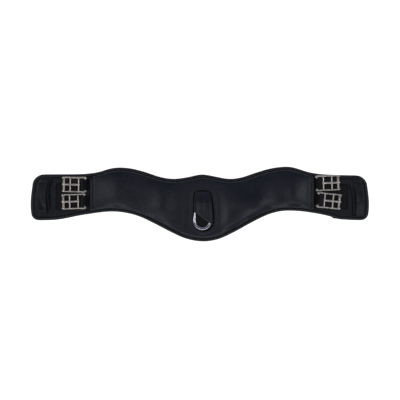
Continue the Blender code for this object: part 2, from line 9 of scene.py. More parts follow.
import bmesh
import bpy
import numpy as np
from mathutils import Matrix, Vector
from mathutils.geometry import delaunay_2d_cdt
from mathutils.kdtree import KDTree


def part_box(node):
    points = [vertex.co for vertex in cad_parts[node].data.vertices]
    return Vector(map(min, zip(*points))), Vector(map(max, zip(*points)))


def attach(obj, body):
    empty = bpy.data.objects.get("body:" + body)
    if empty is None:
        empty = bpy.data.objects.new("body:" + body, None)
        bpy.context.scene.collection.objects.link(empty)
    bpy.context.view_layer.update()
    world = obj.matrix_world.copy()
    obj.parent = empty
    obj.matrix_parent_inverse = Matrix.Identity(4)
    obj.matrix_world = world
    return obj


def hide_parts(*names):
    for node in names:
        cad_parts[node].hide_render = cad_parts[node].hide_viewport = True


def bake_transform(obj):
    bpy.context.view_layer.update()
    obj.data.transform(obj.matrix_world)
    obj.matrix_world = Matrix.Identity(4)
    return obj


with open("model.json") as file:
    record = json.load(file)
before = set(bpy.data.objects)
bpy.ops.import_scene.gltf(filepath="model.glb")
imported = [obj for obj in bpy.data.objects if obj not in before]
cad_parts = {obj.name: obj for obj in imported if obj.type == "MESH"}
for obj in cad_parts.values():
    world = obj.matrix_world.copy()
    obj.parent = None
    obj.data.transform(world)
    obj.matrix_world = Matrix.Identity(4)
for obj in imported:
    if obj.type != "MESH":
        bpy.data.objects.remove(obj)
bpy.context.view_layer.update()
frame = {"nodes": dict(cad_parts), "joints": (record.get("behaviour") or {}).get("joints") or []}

MM = 0.001
SIDES, LEVELS = {"left": -1, "right": 1}, ("upper", "lower")
joints = {j["name"]: j for j in frame["joints"]}
rng = random.Random(7)

EDGE_Z = 3.5  # height at which the CAD bindings are widest
# Edge binding's section: inset from the edge, height.
BEAD = [(5.0, 0.25), (4.5, 0.0), (3.2, 0.0), (1.9, 0.0), (0.9, 0.3), (0.1, 0.85), (-0.4, 1.6), (-0.6, 2.5),
        (-0.55, 3.4), (-0.15, 4.3), (0.7, 5.0), (1.8, 5.45), (3.0, 5.65), (4.0, 5.6), (4.9, 5.3), (5.6, 4.8),
        (5.95, 4.3), (5.8, 4.05), (1.3, 4.0), (1.2, 1.3), (4.9, 1.2)]
BEAD_CENTRE, BEAD_SEAM = (2.6, 2.75), (4.95, 5.12)  # the seam's inset and height
STITCH_PITCH, STITCH_LONG, STITCH_R, STITCH_SIDES = 3.3, 2.5, 0.36, 6
# A stitch's share of its length, thickness and lift.
STITCH_PROFILE = [(-0.5, 0.15, -0.55), (-0.44, 0.75, -0.2), (-0.2, 1.0, 0.1), (0.2, 1.0, 0.1),
                  (0.44, 0.75, -0.2), (0.5, 0.15, -0.55)]

# The oblong window in the cover, as in part.py.
WINDOW = [(-6, 28.4), (17, 28.4), (23.5, 25), (26, 18), (29, -2), (30.6, -20), (31, -38), (27.6, -48.5),
          (20, -55.8), (8, -59.6), (-3, -57), (-11, -50), (-15.4, -41), (-15.9, -30), (-14.6, -16), (-14, 0),
          (-13.8, 19), (-11.4, 25.6)]
RIDGE = [(-0.5, 11.2), (-0.1, 12.3), (0.3, 13.1), (0.9, 13.65), (1.6, 13.8), (2.3, 13.55), (2.9, 13.05),
         (3.4, 12.6), (4.1, 12.45), (4.8, 12.5), (5.5, 12.4), (5.8, 12.1), (5.5, 11.8), (1.5, 11.0)]


# ---- lines and loops

def mesh_points(mesh):
    flat = np.empty(len(mesh.vertices) * 3)
    mesh.vertices.foreach_get("co", flat)
    return flat.reshape(-1, 3) / MM


def outer_line(node):
    """The free edge of a CAD binding, as loose points."""
    points = mesh_points(frame["nodes"][node].data)
    return np.unique(points[np.abs(points[:, 2] - EDGE_Z) < 0.05][:, :2].round(2), axis=0)


def lengths(line):
    return np.r_[0, np.cumsum(np.linalg.norm(np.diff(line, axis=0), axis=1))]


def resample(points, step, closed=False):
    """Points about a step apart on a smooth line through the given ones."""
    p = np.asarray(points, float)
    count = len(p)
    if closed:
        p = np.vstack([p[-3:], p, p[:4]])
    chord = lengths(p)
    slope = np.gradient(p, chord, axis=0)
    first, last = (chord[3], chord[3 + count]) if closed else (0, chord[-1])
    t = np.linspace(first, last, int((last - first) / step * 4) + 8)
    i = np.clip(np.searchsorted(chord, t, side="right") - 1, 0, len(p) - 2)
    h = (chord[i + 1] - chord[i])[:, None]
    u = (t - chord[i])[:, None] / h
    fine = (2 * u**3 - 3 * u**2 + 1) * p[i] + (u**3 - 2 * u**2 + u) * h * slope[i]
    fine += (3 * u**2 - 2 * u**3) * p[i + 1] + (u**3 - u**2) * h * slope[i + 1]
    along = lengths(fine)
    at = np.linspace(0, along[-1], max(2, round(along[-1] / step)) + 1)
    if closed:
        at = at[:-1]
    return np.column_stack([np.interp(at, along, fine[:, k]) for k in range(fine.shape[1])])


def unit(v):
    return v / np.linalg.norm(v, axis=-1, keepdims=True)


def left_of(line, closed=False):
    """Mitred normals to the left of a line in XY."""
    p = np.asarray(line)[:, :2]
    before, after = p - np.roll(p, 1, 0), np.roll(p, -1, 0) - p
    if not closed:
        before[0], after[-1] = after[0], before[-1]
    n0, n1 = (np.column_stack([-d[:, 1], d[:, 0]]) for d in (unit(before), unit(after)))
    mid = unit(n0 + n1)
    return mid / np.maximum((mid * n0).sum(1), 0.5)[:, None]


def shift(line, distance, closed=False):
    return np.asarray(line)[:, :2] + left_of(line, closed) * distance


def inside(points, loop):
    """Which points lie in a closed loop."""
    hit = np.zeros(len(points), bool)
    x, y = points[:, 0], points[:, 1]
    for (x0, y0), (x1, y1) in zip(loop, np.roll(loop, -1, 0)):
        if y0 != y1:
            crossing = (y0 > y) != (y1 > y)
            hit ^= crossing & (x < (x1 - x0) * (y - y0) / (y1 - y0) + x0)
    return hit


def distance(points, line):
    """The shortest distance from each point to a line of short segments."""
    best = np.full(len(points), 1e9)
    for p, q in zip(line[:-1], line[1:]):
        v = q - p
        t = np.clip((points - p) @ v / max(v @ v, 1e-9), 0, 1)
        gap = points - p - t[:, None] * v
        np.minimum(best, np.hypot(gap[:, 0], gap[:, 1]), out=best)
    return best


def ring_of(loop):
    """A closed loop with its first point again at its end."""
    return np.vstack([loop, loop[:1]])


def at_height(points, z):
    return np.column_stack([points, np.broadcast_to(z, len(points))])


def smooth(x):
    x = np.clip(x, 0, 1)
    return x * x * (3 - 2 * x)


def bump(points, centre, reach, height):
    """A soft round swelling; reach is its size along X and Y."""
    r = ((points - np.array(centre)) / np.array(reach)) ** 2
    return height * np.exp(-r.sum(1))


WAVE_COUNT = 9


def waves(points, size, seed):
    """Slow unevenness between about -1 and 1, as hand work has, of a stated wavelength."""
    if np.ndim(points) == 1:
        points = at_height(points, 0)
    draw = random.Random(seed)
    total = np.zeros(len(points))
    for _ in range(WAVE_COUNT):
        a, phase = draw.uniform(0, math.tau), draw.uniform(0, math.tau)
        k = math.tau / (size * draw.uniform(0.7, 1.6))
        total += np.sin(points[:, 0] * math.cos(a) * k + points[:, 1] * math.sin(a) * k + phase)
    return total / WAVE_COUNT * 1.6


# ---- materials

def add(tree, kind, inputs=None, **settings):
    """A node with its settings; an input is a value, or a socket to link from."""
    made = tree.nodes.new("ShaderNode" + kind)
    for key, value in settings.items():
        setattr(made, key, value)
    for key, value in (inputs or {}).items():
        if isinstance(value, bpy.types.NodeSocket):
            tree.links.new(value, made.inputs[key])
        else:
            made.inputs[key].default_value = value
    return made


def new_material(name, **sockets):
    mat = bpy.data.materials.new(name)
    mat.use_nodes = True
    tree = mat.node_tree
    shader = tree.nodes["Principled BSDF"]
    for key, value in sockets.items():
        shader.inputs[key.replace("_", " ")].default_value = value
    coords = add(tree, "TexCoord").outputs["Object"]
    return mat, tree, shader, coords


def blend_colour(tree, factor, dark, light):
    mix = add(tree, "Mix", data_type="RGBA")
    tree.links.new(factor, mix.inputs["Factor"])
    mix.inputs["A"].default_value = (*dark, 1)
    mix.inputs["B"].default_value = (*light, 1)
    return mix.outputs["Result"]


def remap(tree, value, low, high, from_low=0.3, from_high=0.7):
    made = add(tree, "MapRange", {"Value": value, "From Min": from_low, "From Max": from_high,
                                  "To Min": low, "To Max": high})
    return made.outputs["Result"]


def combine(tree, operation, first, second):
    return add(tree, "Math", {0: first, 1: second}, operation=operation).outputs[0]


def noise(tree, coords, scale, detail, rough=0.5):
    made = add(tree, "TexNoise", {"Vector": coords, "Scale": scale, "Detail": detail, "Roughness": rough})
    return made.outputs["Fac"]


def finish(tree, shader, colour, rough, height, strength, depth):
    """Gives the shader its colour, roughness and relief; depth is in millimetres."""
    relief = add(tree, "Bump", {"Height": height, "Strength": strength, "Distance": depth * MM})
    for socket, key in ((colour, "Base Color"), (rough, "Roughness"), (relief.outputs["Normal"], "Normal")):
        tree.links.new(socket, shader.inputs[key])


RUBBED_EDGE = (0.03, 0.031, 0.035)  # leather's colour where its edges are worn


def leather(name, dark, light, rough, grain=1.0, relief=0.5, worn=0.0, gloss=0.5):
    """Finished leather: pebbled grain and pores, slow dye and polish variation, high edges lightened where
    worn.
    """
    mat, tree, shader, coords = new_material(name, Specular_IOR_Level=gloss)
    pebble = add(tree, "TexVoronoi", {"Vector": coords, "Scale": 1 / (grain * MM), "Randomness": 1.0},
                 feature="SMOOTH_F1").outputs["Distance"]
    pores = noise(tree, coords, 2.6 / (grain * MM), 3.0)
    slow = noise(tree, coords, 22.0, 5.0, 0.6)
    patch = noise(tree, coords, 95.0, 4.0, 0.65)
    tone = combine(tree, "SUBTRACT", combine(tree, "ADD", slow, patch), pebble)
    colour = blend_colour(tree, remap(tree, tone, 0, 1, 0.35, 0.95), dark, light)
    if worn:
        rub = remap(tree, add(tree, "NewGeometry").outputs["Pointiness"], 0.0, worn, 0.52, 0.62)
        mix = add(tree, "Mix", {"Factor": rub}, data_type="RGBA")
        tree.links.new(colour, mix.inputs["A"])
        mix.inputs["B"].default_value = (*RUBBED_EDGE, 1)
        colour = mix.outputs["Result"]
    finish(tree, shader, colour, remap(tree, patch, rough - 0.03, rough + 0.04),
           combine(tree, "SUBTRACT", pores, pebble), relief, 0.1 * grain)
    return mat


def woven(name, dark, light, rough, pitch, relief):
    """Ribbed weave: fine wales along one way crossed by weft, with a little fuzz."""
    mat, tree, shader, coords = new_material(name, Sheen_Weight=0.02, Sheen_Roughness=0.5,
                                             Specular_IOR_Level=0.25)
    ribs = []
    for direction, scale in (("X", 1.0), ("Y", 1.7)):
        wave = add(tree, "TexWave", {"Vector": coords, "Scale": scale / (pitch * MM * 6.2832),
                                     "Distortion": 0.6, "Detail": 1.0, "Detail Scale": 3.0},
                   bands_direction=direction)
        ribs.append(wave.outputs["Fac"])
    cross = combine(tree, "MULTIPLY", *ribs)
    fuzz = noise(tree, coords, 2200.0, 3.0)
    tone = combine(tree, "MULTIPLY", cross, noise(tree, coords, 70.0, 4.0))
    finish(tree, shader, blend_colour(tree, remap(tree, tone, 0, 1, 0.0, 0.6), dark, light),
           remap(tree, fuzz, rough - 0.06, rough + 0.08), combine(tree, "ADD", cross, fuzz), relief, 0.15)
    return mat


def foam(name):
    mat, tree, shader, coords = new_material(name)
    cells = add(tree, "TexVoronoi", {"Vector": coords, "Scale": 1400.0})
    slow = noise(tree, coords, 60.0, 4.0)
    finish(tree, shader, blend_colour(tree, slow, (0.05, 0.05, 0.055), (0.09, 0.09, 0.1)),
           remap(tree, slow, 0.82, 0.95), cells.outputs["Distance"], 0.6, 0.25)
    return mat


def metal(name, dark, light, rough, scratch, spread=0.1, rubbed=0.0):
    """Plated metal: handling marks in the polish, fine scratches, tarnish where nothing rubs it. When asked,
    its colour also gets painted light on the faces turned up and painted shade on its flanks.
    """
    mat, tree, shader, coords = new_material(name, Metallic=1.0)
    slow = noise(tree, coords, 260.0, 5.0, 0.62)
    stretch = add(tree, "Mapping", {"Vector": coords, "Scale": (300.0, 2600.0, 2600.0)})
    lines = noise(tree, stretch.outputs[0], 1.0, 5.0)
    clean_and_top_lit = remap(tree, add(tree, "NewGeometry").outputs["Pointiness"], 0.0, 1.0, 0.44, 0.53)
    if rubbed:  # painted light on the upward faces and painted shade on the flanks, from the object-space normal
        outward = add(tree, "SeparateXYZ", {0: add(tree, "TexCoord").outputs["Normal"]}).outputs["Z"]
        clean_and_top_lit = combine(tree, "MULTIPLY", clean_and_top_lit, remap(tree, outward, 1 - rubbed, 1.0, 0.25, 0.9))
    tone = combine(tree, "MULTIPLY", clean_and_top_lit, remap(tree, slow, 0.6, 1.0))
    marks = combine(tree, "ADD", slow, lines)
    finish(tree, shader, blend_colour(tree, tone, dark, light),
           remap(tree, marks, rough - spread, rough + spread, 0.75, 1.25), lines, scratch, 0.04)
    return mat


def thread(name):
    mat, tree, shader, coords = new_material(name, Sheen_Weight=0.15)
    twist = add(tree, "TexWave", {"Vector": coords, "Scale": 520.0, "Distortion": 2.0, "Detail": 1.0},
                bands_direction="DIAGONAL").outputs["Fac"]
    finish(tree, shader, blend_colour(tree, twist, (0.01, 0.01, 0.012), (0.03, 0.031, 0.036)),
           remap(tree, twist, 0.38, 0.55), twist, 0.6, 0.08)
    return mat


MATS = {
    "face_leather": leather("cover_leather", (0.005, 0.0066, 0.0134), (0.0082, 0.0101, 0.018), 0.31,
                            0.9, 0.3),
    "binding_leather": leather("rolled_binding", (0.007, 0.0078, 0.0115), (0.014, 0.015, 0.0195), 0.36,
                               0.8, 0.4, worn=0.6),
    "lining_leather": leather("soft_lining", (0.005, 0.0052, 0.0065), (0.01, 0.0103, 0.012), 0.55,
                              1.1, 0.5, gloss=0.25),
    "padding_foam": foam("cell_foam"),
    "webbing": woven("core_weave", (0.006, 0.006, 0.006), (0.02, 0.02, 0.021), 0.8, 1.0, 0.7),
    "elastic": woven("ribbed_elastic", (0.004, 0.0041, 0.0044), (0.016, 0.016, 0.017), 0.75, 0.7, 0.7),
    "buckle_steel": metal("satin_nickel", (0.28, 0.24, 0.19), (0.6, 0.535, 0.46), 0.28, 0.25),
    "ring_steel": metal("polished_nickel", (0.38, 0.38, 0.39), (0.72, 0.73, 0.76), 0.15, 0.12, 0.06),
}
# Nickel with painted light on its upward faces and painted shade on its flanks.
TOP_LIT_NICKEL = metal("top_lit_nickel", (0.21, 0.175, 0.135), (0.93, 0.84, 0.725), 0.27, 0.25, rubbed=0.85)
KEEPER_SKIN = leather("keeper_leather", (0.005, 0.0056, 0.0086), (0.0095, 0.0103, 0.0145), 0.32,
                      0.9, 0.14, gloss=0.36)
GUARD = leather("guard_leather", (0.0046, 0.0053, 0.0088), (0.0092, 0.01, 0.014), 0.4,
                1.0, 0.4, gloss=0.33)
THREAD = thread("sewing_thread")


# ---- meshes

def link(obj):
    bpy.context.scene.collection.objects.link(obj)
    return obj


def piece(name, verts, faces, slot, body=None, mat=None, sharp=50):
    """A mesh from points in millimetres, smooth but for its hard edges, riding on a body if one is named."""
    mesh = bpy.data.meshes.new(name)
    mesh.from_pydata((np.asarray(verts, float) * MM).tolist(), [], [list(map(int, f)) for f in faces])
    mesh.materials.append(mat or MATS[slot])
    bm = bmesh.new()
    bm.from_mesh(mesh)
    bmesh.ops.recalc_face_normals(bm, faces=bm.faces)
    bm.to_mesh(mesh)
    bm.free()
    mesh.shade_smooth()
    mesh.set_sharp_from_angle(angle=math.radians(sharp))
    obj = link(bpy.data.objects.new(name, mesh))
    if body:
        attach(obj, body)
    return obj


def skin(rings, closed=False):
    """Points and faces of a surface through equal rings; each open end is capped with one face."""
    rings = np.asarray(rings, float)
    rows, count = rings.shape[:2]
    verts = rings.reshape(-1, 3)
    faces = []
    for r in range(rows if closed else rows - 1):
        a, b = r * count, (r + 1) % rows * count
        faces += [(a + i, a + (i + 1) % count, b + (i + 1) % count, b + i) for i in range(count)]
    if not closed:
        faces += [tuple(range(count))[::-1], tuple(range((rows - 1) * count, rows * count))]
    return verts, faces


def sweep(line, sections, closed=False):
    """Rings along a line in XY, one section of (to the left, height) points for each of its points."""
    return [np.column_stack([p[0] + n[0] * rows[:, 0], p[1] + n[1] * rows[:, 0], rows[:, 1]])
            for p, n, rows in zip(line, left_of(line, closed), np.asarray(sections))]


def superellipse(sides, power):
    """(across, up) points round a bar of half sizes 1; a power under 1 squares it up."""
    return [[math.copysign(abs(t) ** power, t) for t in (math.cos(a), math.sin(a))]
            for a in np.linspace(0, math.tau, sides, endpoint=False)]


def merge(parts):
    """One mesh's points and faces from several."""
    verts, faces = [], []
    for some_verts, some_faces in parts:
        base = len(verts)
        verts += list(some_verts)
        faces += [tuple(base + i for i in face) for face in some_faces]
    return verts, faces


def grid_inside(low, high, step, loop, clear):
    """A square grid of points inside a loop, all of them at least a clear distance from it."""
    grid = np.stack(np.meshgrid(*(np.arange(low[k], high[k], step) for k in (0, 1))), -1).reshape(-1, 2)
    grid = grid[inside(grid, loop)]
    return grid[distance(grid, ring_of(loop)) > clear]


def stitches(name, line, body, pitch=STITCH_PITCH, long=STITCH_LONG, radius=STITCH_R, closed=False):
    """A row of sewn stitches along a line in space, each one a short thread with its ends pulled in."""
    line = np.asarray(line, float)
    if closed:
        line = ring_of(line)
    along = lengths(line)
    count = int(along[-1] / pitch)
    lead = (along[-1] - count * pitch) / 2
    parts = []
    for k in range(count):
        middle = lead + (k + 0.5) * pitch + rng.uniform(-0.12, 0.12)
        start, stop = (np.array([np.interp(middle + end, along, c) for c in line.T])
                       for end in (-long / 2, long / 2))
        across = unit(np.cross((0, 0, 1.0), stop - start))
        up = np.cross(unit(stop - start), across)
        rings = []
        for t, thick, lift in STITCH_PROFILE:
            ring = []
            for a in np.arange(STITCH_SIDES) * math.tau / STITCH_SIDES:
                offset = across * math.cos(a) * radius * 1.15 + up * math.sin(a) * radius
                ring.append((start + stop) / 2 + (stop - start) * t + offset * thick + up * lift * radius)
            rings.append(ring)
        parts.append(skin(rings))
    return piece(name, *merge(parts), "binding_leather", body, THREAD, 80)


def triangulate(points, rim, holes):
    """Triangles over loose points and their rims, kept inside the rim and outside the holes."""
    loops = [np.asarray(loop) for loop in [rim] + holes]
    edges, start = [], 0
    for loop in loops:
        edges += [(start + i, start + (i + 1) % len(loop)) for i in range(len(loop))]
        start += len(loop)
    flat = np.vstack(loops + [points])
    verts, _, faces = delaunay_2d_cdt([Vector(p) for p in flat.tolist()], edges, [], 0, 1e-4)[:3]
    verts = np.array([tuple(v) for v in verts])
    faces = np.array([tuple(f) for f in faces])
    middle = verts[faces].mean(1)
    keep = inside(middle, rim)
    for hole in holes:
        keep &= ~inside(middle, hole)
    faces = faces[keep]
    used, index = np.unique(faces, return_inverse=True)
    return verts[used], index.reshape(faces.shape)


def close_pad(top, faces, under):
    """A closed pad from its upper skin: the outline again at the underside's heights, and walls between."""
    count = len(top)
    bottom = at_height(top[:, :2], under)
    a, b, c = faces.T
    edges = np.vstack([np.column_stack(pair) for pair in ((a, b), (b, c), (c, a))])
    keys, seen = np.unique(np.sort(edges, axis=1), axis=0, return_counts=True)
    rim = {tuple(k) for k in keys[seen == 1].tolist()}
    walls = [(i, j, j + count, i + count) for i, j in edges.tolist() if (min(i, j), max(i, j)) in rim]
    every = faces.tolist() + (faces[:, ::-1] + count).tolist() + walls
    return np.vstack([top, bottom]), every


def settled(obj):
    """The object as its modifiers leave it."""
    return obj.evaluated_get(bpy.context.evaluated_depsgraph_get())


def inflate(top, faces, loose, cap):
    """Swells a sewn cover over its foam: cloth under pressure, held where loose is 0, its travel capped."""
    mesh = bpy.data.meshes.new("swell")
    mesh.from_pydata((top * MM).tolist(), [], faces.tolist())
    obj = link(bpy.data.objects.new("swell", mesh))
    group = obj.vertex_groups.new(name="sewn")
    for i, hold in enumerate(1 - loose):
        if hold > 0.01:
            group.add([i], float(hold), "REPLACE")
    cloth = obj.modifiers.new("cloth", "CLOTH")
    for key, value in CLOTH.items():
        setattr(cloth.settings, key, value)
    cloth.settings.effector_weights.gravity = 0
    cloth.point_cache.frame_start, cloth.point_cache.frame_end = 1, SWELL_FRAMES
    scene = bpy.context.scene
    for step in range(1, SWELL_FRAMES + 1):
        scene.frame_set(step)
    moved = mesh_points(settled(obj).to_mesh()) - top
    travel = np.linalg.norm(moved, axis=1)
    moved *= (np.tanh(travel / cap) * cap / np.maximum(travel, 1e-6))[:, None]
    bpy.data.objects.remove(obj)
    scene.frame_set(1)
    return top + moved


SWELL_FRAMES, SWELL_CAP = 20, 1.2
CLOTH = {"vertex_group_mass": "sewn", "mass": 0.002, "use_pressure": True, "uniform_pressure_force": 14.0,
         "tension_stiffness": 15, "compression_stiffness": 15, "shear_stiffness": 8, "bending_stiffness": 1.0,
         "quality": 6}


# ---- binding

def bind(name, line, body, node=None, grow=1.0, seed=1, seam=True):
    """Rolled leather binding along an edge, drawn down a little at each stitch, with its row of stitches."""
    line = np.asarray(line)
    along = lengths(line)
    section, centre = np.array(BEAD), np.array(BEAD_CENTRE)
    slow = waves(along, 46, seed)
    quick = waves(along, 9, seed + 1)
    pull = 0.5 + 0.5 * np.cos(along / STITCH_PITCH * math.tau)
    rings = []
    for drift, ripple, tight in zip(slow, quick, pull):
        rows = centre + (section - centre) * (grow + 0.012 * drift)
        upper = rows[:, 1] > 3.9  # the side that shows; the underside stays flat
        rows[:, 1] += np.where(upper, 0.1 * ripple + 0.08 * drift, 0)
        near = np.exp(-((rows[:, 0] - 5.0) / 0.8) ** 2) * upper
        rows[:, 1] -= near * (0.12 + 0.22 * tight)
        rows[:, 1] = np.maximum(rows[:, 1], 0.0)
        rings.append(rows)
    made = piece(name, *skin(sweep(line, rings)), "binding_leather", body, sharp=75)
    if node:
        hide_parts(node)
    if seam:
        inset, z = BEAD_SEAM
        stitches(name + "_stitches", at_height(shift(line, inset), z), body)
    return made


# ---- body

edge_top = resample(outer_line("body_binding_upper")[::-1], 1.0)  # both run with the leather on their left
edge_low = resample(outer_line("body_binding_lower"), 1.0)
BODY_X = {-1: edge_low[0, 0], 1: edge_low[-1, 0]}
HOLE_STEP = 1.3
hole = resample(WINDOW, HOLE_STEP, closed=True)[::-1]  # anticlockwise, so outside is to its right
if not inside(shift(hole, 0.5, True)[:1], hole)[0]:
    hole = hole[::-1]


def edge_y(line, inset, x):
    moved = shift(line, inset)
    order = np.argsort(moved[:, 0])
    return np.interp(x, moved[order, 0], moved[order, 1])


BODY_ROWS = (3.4, 5.2, 6.45, 6.65, 6.85, 7.1, 7.4, 7.8, 8.4, 9.3, 10.7, 12.4)  # insets from the edge


def body_points():
    """Loose points for the cover: rows that crowd along both edges, with rings round the window."""
    x = np.arange(BODY_X[-1] + 1.3, BODY_X[1] - 1.2, 2.0)
    x = np.append(x, BODY_X[1] - 1.3)
    low, top = ([edge_y(edge, d, x) for d in BODY_ROWS] for edge in (edge_low, edge_top))
    rows = low[:-1] + [low[-1] + (top[-1] - low[-1]) * k for k in np.linspace(0, 1, 54)] + top[:-1]
    points = np.vstack([np.column_stack([x, row])[1:-1] for row in rows])
    rim = np.vstack([np.column_stack([x, edge_y(edge_low, 1.6, x)]),
                     [(x[-1], row[-1]) for row in rows],
                     np.column_stack([x, edge_y(edge_top, 1.6, x)])[::-1],
                     [(x[0], row[0]) for row in rows[::-1]]])
    gap = distance(points, ring_of(hole))
    points = points[~inside(points, hole) & (gap > 8.6)]
    rings = [shift(hole, -d, True) for d in (0.6, 1.6, 2.8, 4.0, 4.8, 5.4, 6.0, 6.8, 7.8)]
    return np.vstack([points] + rings), rim


def body_measures(p):
    side = np.minimum(distance(p, edge_top), distance(p, edge_low))
    end = np.minimum(p[:, 0] - BODY_X[-1], BODY_X[1] - p[:, 0])
    gap = distance(p, ring_of(hole))
    return side, end, np.where(inside(p, hole), -gap, gap)


# A stuffed cover's height against the distance from its edge: down at the seam, up a steep side, a slow dome.
BODY_RISE = [(6.5, 3.8), (6.65, 6.3), (6.85, 8.7), (7.1, 10.4), (7.4, 11.3), (7.9, 11.8), (8.7, 12.05),
             (10.5, 12.3), (14, 12.55), (22, 12.8)]
GUARD_RISE = [(6.4, 3.8), (6.6, 5.0), (6.9, 5.9), (7.4, 6.4), (8.1, 6.6), (9.2, 6.72), (12, 6.8)]
PAD_UNDER, LINING_TOP = 2.62, 2.58  # heights of a pad's underside and of the lining below it
# Slow rolls in the cover: middle, reach along X and Y, height.
BODY_RELIEF = [((-178, 20), (21, 40), 2.0), ((-80, 0), (20, 42), 2.0), ((-86, -10), (30, 20), 1.0),
               ((104, -6), (44, 24), 3.6), ((62, -38), (25, 20), 2.4), ((130, 2), (22, 34), 1.8),
               ((203, 14), (19, 36), 2.8)]


def rise(d, table):
    return np.interp(d, *np.array(table).T)


def build_body():
    points, rim = body_points()
    flat, faces = triangulate(points, rim, [hole])
    side, end, gap = body_measures(flat)
    z = rise(side, BODY_RISE)
    z = 3.9 + (z - 3.9) * (0.82 + 0.18 * smooth((end - 6.0) / 3.4))
    top = at_height(flat, z)
    loose = smooth((side - 8) / 12) * smooth((end - 7.5) / 12) * smooth((gap - 6) / 16)
    top = inflate(top, faces, loose, SWELL_CAP)
    relief = sum(bump(flat, *row) for row in BODY_RELIEF)
    relief += 0.1 * waves(flat, 60, 11) + 0.04 * waves(flat, 19, 12)
    top[:, 2] += relief * smooth((side - 8) / 9) * smooth((end - 6.5) / 24) * smooth((gap - 6) / 26)
    top[:, 2] -= 0.25 * np.exp(-((gap - 6.2) / 0.7) ** 2)
    pad = piece("body_pad", *close_pad(top, faces, PAD_UNDER), "face_leather", "body")
    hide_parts("body_face", "body_padding")
    return top


def surface_z(top):
    """A function that gives the cover's height at points, by the nearest few of its own."""
    tree = KDTree(len(top))
    for i, p in enumerate(top.tolist()):
        tree.insert((p[0], p[1], 0), i)
    tree.balance()

    def height(points):
        out = []
        for p in points:
            near = tree.find_n((p[0], p[1], 0), 3)
            weights = [1 / (gap + 0.05) for where, i, gap in near]
            out.append(sum(top[i, 2] * w for (where, i, gap), w in zip(near, weights)) / sum(weights))
        return np.array(out)
    return height


def build_lining(name, rim, body, node):
    """The soft lining under a panel: flat on the horse's side, stepped up over the binding's lip."""
    loops = [shift(rim, d, True) for d in (1.6, 5.1, 5.6, 6.4, 8.0)]
    grid = grid_inside(rim.min(0), rim.max(0), 4.0, rim, 10.5)
    flat, faces = triangulate(np.vstack(loops[1:] + [grid]), loops[0], [])
    d = distance(flat, ring_of(rim))
    under = 1.4 * (1 - smooth((d - 5.0) / 1.2))
    under += 0.18 * (0.5 + 0.5 * waves(flat, 24, 5)) * smooth((d - 6) / 6)
    made = piece(name, *close_pad(at_height(flat, LINING_TOP), faces, under), "lining_leather", body)
    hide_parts(node)


# The end band's section: outward from the cover's end, up from its surface.
BAND = [(-0.1, -3.2), (-0.2, -0.6), (-0.15, 0.5), (-0.35, 1.1), (-0.9, 1.5), (-1.7, 1.45), (-2.4, 1.1),
        (-3.4, 1.0), (-4.4, 1.05), (-5.2, 1.4), (-5.9, 1.45), (-6.4, 1.1), (-6.6, 0.5), (-6.5, -0.3),
        (-3.0, -0.5), (-0.9, -0.5), (-0.9, -3.2)]
BAND_WIDE = 6.5


def build_band(side, word, height):
    """The strip that closes the cover's end, turned down over it and sewn along both its edges."""
    x = BODY_X[side]
    low, top = edge_y(edge_low, 6.2, x), edge_y(edge_top, 6.2, x)
    lean_low, lean_top = (np.diff(edge_y(line, 6.2, np.array([x, x - side * BAND_WIDE])))[0]
                          for line in (edge_low, edge_top))
    ys = np.arange(low, top, 1.1)
    base = height(np.column_stack([np.full(len(ys), x - side * 4.0), ys]))
    base = np.convolve(np.pad(base, 3, mode="edge"), np.ones(7) / 7, mode="valid")
    wobble = waves(ys, 16, 21 + side)
    rings = []
    for y, z, w in zip(ys, base, wobble):
        share = (y - low) / (top - low)
        lean = share * lean_top + (1 - share) * lean_low
        rings.append([(x + side * u, y + lean * min(1, max(0, -u / BAND_WIDE)),
                       z + v + (0.1 * w if v > 0 else 0)) for u, v in BAND])
    made = piece(word + "_end_band_strip", *skin(rings), "binding_leather", "body", KEEPER_SKIN, 70)
    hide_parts(word + "_end_band")
    for u, label in ((1.9, "outer"), (5.0, "inner")):
        line = np.column_stack([np.full(len(ys), x - side * u), ys, base + 1.22])
        stitches(f"{word}_end_band_{label}_stitches", line[2:-2], "body")


def build_window():
    """The raised ridge round the window, sewn down outside it, and the panel at the bottom of the recess."""
    wobble = waves(np.arange(len(hole)) * HOLE_STEP, 22, 31)
    sections = [[(d, z + (0.1 * w if z > 12 else 0)) for d, z in RIDGE] for w in wobble]
    ridge = piece("window_ridge", *skin(sweep(hole[::-1], sections, True), closed=True),
                  "binding_leather", "body", sharp=70)
    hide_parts("window_piping")
    stitches("window_stitches", at_height(shift(hole, -4.9, True), 12.5), "body", closed=True)
    rim = shift(hole, 0.4, True)
    flat, faces = triangulate(grid_inside((-16, -60), (31, 29), 2.2, rim, 1.6), rim, [])
    d = distance(flat, ring_of(rim))
    top = at_height(flat, 7.1 + 0.7 * smooth(d / 8) + 0.12 * waves(flat, 14, 33))
    panel = piece("recess_lining", *close_pad(top, faces, 6.6), "lining_leather", "body")
    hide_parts("recess_panel")


# ---- D-ring and its tab

RING_R, RING_BAR, RING_WIDE, RING_THICK, BAR_R = 17.2, 21.5, 3.55, 2.3, 1.6
TAB_PLY, TAB_GAP, TAB_HEAD_Z = 0.55, 0.25, 10.75
FLAP_HEAD = 26.8  # y of the seam that holds the loop and the flap


